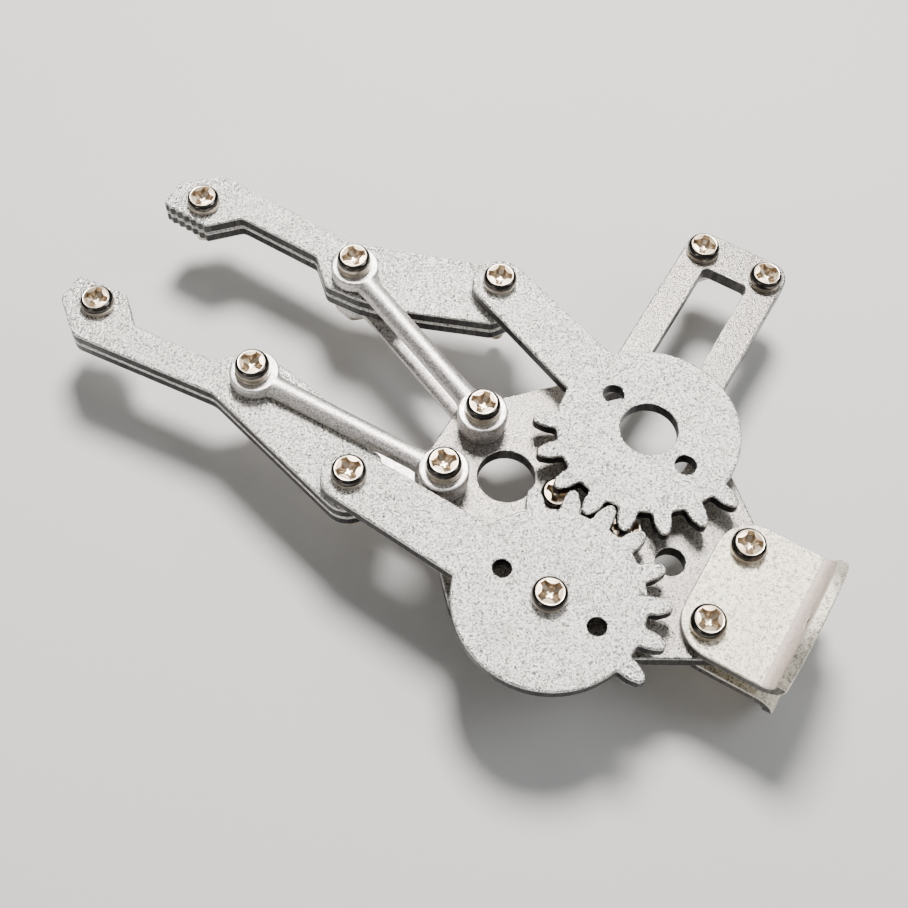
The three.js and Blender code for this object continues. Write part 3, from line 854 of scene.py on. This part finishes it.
# The base casting is painted darker than the arm castings as painted shade from the gears above it,
# and its walls darker still as painted shade.
CAST_BASE = [
    cast_metal("base_casting_finish_and_painted_shade", (0.095, 0.0905, 0.0865), (0.41, 0.386, 0.365), 0.00014),
    side_metal("base_casting_walls", (0.03, 0.0295, 0.029), (0.13, 0.127, 0.124)),
]
CAST_LINK = [
    cast_metal("link_casting_finish", (0.36, 0.34, 0.335), (0.86, 0.825, 0.815), 0.00005, 0.3),
]
SHEET_TONES = ((0.28, 0.26, 0.212), (0.80, 0.74, 0.62), (1.0, 0.955, 0.85))
# Flat pinkish-grey tones for the faces towards the base: painted reflection.
FLANGE_TONES = ((0.47, 0.395, 0.36), (0.57, 0.48, 0.44), (0.67, 0.57, 0.525))
# The sheet's cut edges are painted dark as painted shade and dark painted reflection.
SHEET = [
    sheet_metal("bracket_sheet_finish", SHEET_TONES, 0.00023),
    side_metal("bracket_sheet_edges", (0.05, 0.048, 0.045), (0.24, 0.23, 0.215)),
    sheet_metal("bracket_flange_face", FLANGE_TONES, 0.00001, 0.25, 0.45),
]
# In the order of PLATED, RECESSED, SIDED and CROWN; the last three are the plating painted darker:
# painted shade in the recess, a dark painted reflection on the head's side and painted shade on the
# top.
NICKEL = [
    nickel("nickel_plate", (0.60, 0.53, 0.44), (0.82, 0.74, 0.63), 0.17, 0.26),
    nickel("nickel_recess", (0.33, 0.265, 0.19), (0.60, 0.50, 0.39), 0.2, 0.3),
    nickel("nickel_side", (0.055, 0.05, 0.045), (0.17, 0.157, 0.143), 0.06, 0.16),
    nickel("nickel_crown", (0.34, 0.26, 0.18), (0.54, 0.43, 0.315), 0.3, 0.2),
]


# ---------------------------------------------------------------- pieces
def turned(x, y, z, degrees=0.0):
    """A move to a place, with a turn about Z there."""
    return Matrix.Translation((x, y, z)) @ Matrix.Rotation(math.radians(degrees), 4, "Z")


OVER = Matrix.Rotation(math.pi, 4, "X")


def piece(node, mesh, matrix, looks, body, smooth_angle=38.0, weighted=True):
    """A detailed piece that stands for one CAD node and moves with its body."""
    mesh = mesh.copy()
    mesh.transform(Matrix.Scale(MM, 4) @ Matrix.Translation(-ORIGIN_ON_FLANGE) @ matrix)
    mesh.name = node + "_fine"
    for look in looks:
        mesh.materials.append(look)
    mesh.shade_smooth()
    mesh.set_sharp_from_angle(angle=math.radians(smooth_angle))
    made = bpy.data.objects.new(node + "_fine", mesh)
    bpy.context.scene.collection.objects.link(made)
    if weighted:
        modifier = made.modifiers.new("even_shading", "WEIGHTED_NORMAL")
        modifier.keep_sharp = True
        modifier.weight = 100
    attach(made, body)
    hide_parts(node)


screws = {}
nut = nut_mesh()
head_turns = cycle((20, 71, 34, 5, 52, 12, 63, 41, 80, 26, 9, 58, 37, 15, 47))


def bolt(name, matrix, head_under, nut_top, body, end=None):
    """A screw and its nut on the matrix's Z axis; its shank ends just past the nut or at end."""
    end = nut_top - NUT_THICK - SHANK_PAST_NUT if end is None else end
    length = round(head_under - end, 3)
    if length not in screws:
        screws[length] = screw_mesh(length, nut_top - end)
    turn = next(head_turns)
    piece(f"{name}_screw", screws[length], matrix @ turned(0, 0, head_under, turn), NICKEL,
          body, 34)
    piece(f"{name}_nut", nut, matrix @ turned(0, 0, nut_top, 2 * turn), NICKEL[:1],
          body, 30)


in_place = Matrix.Identity(4)
piece("base_plate", base_mesh(), in_place, CAST_BASE, "base")
bracket = bracket_mesh()
piece("wrist_bracket_upper", bracket, in_place, SHEET, "base")
piece("wrist_bracket_lower", bracket, turned(0, 0, -BASE_THICK) @ OVER, SHEET,
      "base")

for label, side in SIDES.items():
    bolt(f"bracket_{label}", turned(BRACKET_SCREW[0], side["y"] * BRACKET_SCREW[1], 0),
         BRACKET_THICK, -BASE_THICK - BRACKET_THICK, "base")
for label, (x, y) in servo_places().items():
    bolt(label, turned(x, y, 0), 0, -BASE_THICK, "base")
idler_axis = turned(0, GEAR_SPACING / 2, 0)
bolt("idler_axle", idler_axis, GEAR_TOP + RUNNING_GAP, -BASE_THICK, "base")
spacer = tube_mesh(SPACER_RADIUS, BORE_RADIUS, 0, GEAR_UNDER - RUNNING_GAP)
piece("idler_spacer", spacer, idler_axis, CAST_ARM[:1], "base")

link = link_mesh()
washer_top = WASHER_UNDER + WASHER_THICK
washer = tube_mesh(WASHER_RADIUS, BORE_RADIUS, WASHER_UNDER, washer_top, 0.09)
standoff = tube_mesh(STANDOFF_RADIUS, BORE_RADIUS, 0, LINK_UNDER - 2 * RUNNING_GAP, 0.38)
for label, side in SIDES.items():
    s = side["y"]
    arm_body, finger_body, link_body = f"{label}_arm", f"{label}_finger", f"{label}_links"
    arm = turned(0, s * GEAR_SPACING / 2, 0, s * side["arm"])
    gear = gear_mesh(side, AXIS_HOLES[label], HORN_HOLES[label])
    piece(f"{label}_gear", gear, arm, CAST_ARM, arm_body)
    rear = arm @ turned(ARM_LENGTH, 0, 0)
    bolt(f"{label}_rear_pivot", rear, GEAR_TOP, FINGER_UNDER - RUNNING_GAP, arm_body, RIVET_END)
    finger = rear @ turned(0, 0, 0, s * (side["finger"] - side["arm"]))
    for layer, top in (("upper", FINGER_TOP), ("lower", FINGER_TOP - FINGER_STEP)):
        piece(f"{label}_finger_{layer}", finger_mesh(side, top), finger, CAST_ARM,
              finger_body)
    tip = finger @ turned(TIP_SCREW[0], s * TIP_SCREW[1], 0)
    bolt(f"{label}_tip", tip, FINGER_TOP, FINGER_UNDER, finger_body)
    middle = finger @ turned(FINGER_PIVOTS, 0, 0)
    inner = turned(INNER_PIVOT[0], s * INNER_PIVOT[1], 0)
    nut_top = LOWER_LINK_TOP - LINK_THICK - RUNNING_GAP
    for place, name, body in ((middle, "middle", finger_body), (inner, "inner", "base")):
        bolt(f"{label}_{name}_pivot", place, washer_top, nut_top, body)
        piece(f"{label}_{name}_washer", washer, place, NICKEL[:1], body)
    piece(f"{label}_standoff", standoff, inner, CAST_LINK, "base")
    links = inner @ turned(0, 0, 0, s * side["link"])
    for layer, level in (("upper", turned(0, 0, LINK_UNDER)),
                         ("lower", turned(0, 0, LOWER_LINK_TOP) @ OVER)):
        piece(f"{label}_link_{layer}", link, links @ level, CAST_LINK,
              link_body, 60, False)


# ---------------------------------------------------------------- camera, light and floor
CAMERA_LENS, CAMERA_SENSOR = 55.257, 36
CAMERA_RIGHT = (-0.863837, -0.503212, 0.023725)
CAMERA_DOWN = (-0.451396, 0.752260, -0.479944)
CAMERA_FORWARD = (0.223666, -0.425303, -0.876978)
CAMERA_PLACE = (0.010506, 0.082989, 0.162651)


def camera_matrix(right, down, forward, place):
    """The matrix of a camera at a place, from the directions of its own view."""
    turn = Matrix((right, [-v for v in down], [-v for v in forward])).transposed().to_4x4()
    return Matrix.Translation(place) @ turn


camera = bpy.data.objects.new("camera", bpy.data.cameras.new("camera"))
camera.data.lens = CAMERA_LENS
camera.data.sensor_width = CAMERA_SENSOR
camera.data.clip_start, camera.data.clip_end = 0.01, 10
camera.matrix_world = camera_matrix(CAMERA_RIGHT, CAMERA_DOWN, CAMERA_FORWARD, CAMERA_PLACE)
bpy.context.scene.collection.objects.link(camera)
bpy.context.scene.camera = camera


def area_light(name, place, aim, size, watts, color):
    """A round lamp at a place, turned to a point."""
    data = bpy.data.lights.new(name, "AREA")
    data.shape, data.size, data.energy, data.color = "DISK", size, watts, color
    lamp = bpy.data.objects.new(name, data)
    lamp.location = place
    lamp.rotation_euler = (Vector(aim) - Vector(place)).to_track_quat("-Z", "Y").to_euler()
    bpy.context.scene.collection.objects.link(lamp)


middle_of_part = (0.055, -0.01, -0.007)
area_light("key", (0.175, -0.235, 0.46), middle_of_part, 0.17, 6.8, (1.0, 0.965, 0.92))
area_light("fill", (-0.30, -0.20, 0.42), middle_of_part, 0.30, 0.8, (0.94, 0.97, 1.0))
area_light("front", (0.20, 0.50, 0.30), middle_of_part, 0.22, 0.3, (1.0, 0.97, 0.93))

world = bpy.data.worlds.new("studio")
world.use_nodes = True
bpy.context.scene.world = world
sky = world.node_tree
direction = add_node(sky, "ShaderNodeTexCoord").outputs["Generated"]
upward = add_node(sky, "ShaderNodeSeparateXYZ", {0: direction}).outputs["Z"]
glow = ramp(sky, upward, [
    (0.0, (0.15, 0.15, 0.153)),
    (0.4, (0.25, 0.25, 0.255)),
    (0.95, (0.52, 0.52, 0.512)),
])
sky.links.new(glow, sky.nodes["Background"].inputs["Color"])
sky.nodes["Background"].inputs["Strength"].default_value = 0.55

FLOOR_HALF_SIZE, FLOOR_DROP = 6.0, 0.0003


def floor_material():
    """Pale matt paper with faint clouds."""
    material, tree, shader, place, _ = start_material("pale_floor", 0.0)
    clouds = noise(tree, place, 6, 2)
    shade = ramp(tree, clouds, [(0.3, (0.66, 0.66, 0.655)), (0.7, (0.70, 0.70, 0.695))])
    rough = math_node(tree, "MULTIPLY_ADD", noise(tree, place, 900, 2), 0.2, 0.6)
    normal = bump(tree, noise(tree, place, 2500, 2), 0.15, 0.0001)
    finish_material(tree, shader, shade, rough, normal)
    return material


floor_mesh = bpy.data.meshes.new("floor")
grid = bmesh.new()
bmesh.ops.create_grid(grid, x_segments=2, y_segments=2, size=FLOOR_HALF_SIZE)
grid.to_mesh(floor_mesh)
grid.free()
floor_mesh.materials.append(floor_material())
floor = bpy.data.objects.new("floor", floor_mesh)
floor.location.z = cad_low.z - FLOOR_DROP
bpy.context.scene.collection.objects.link(floor)
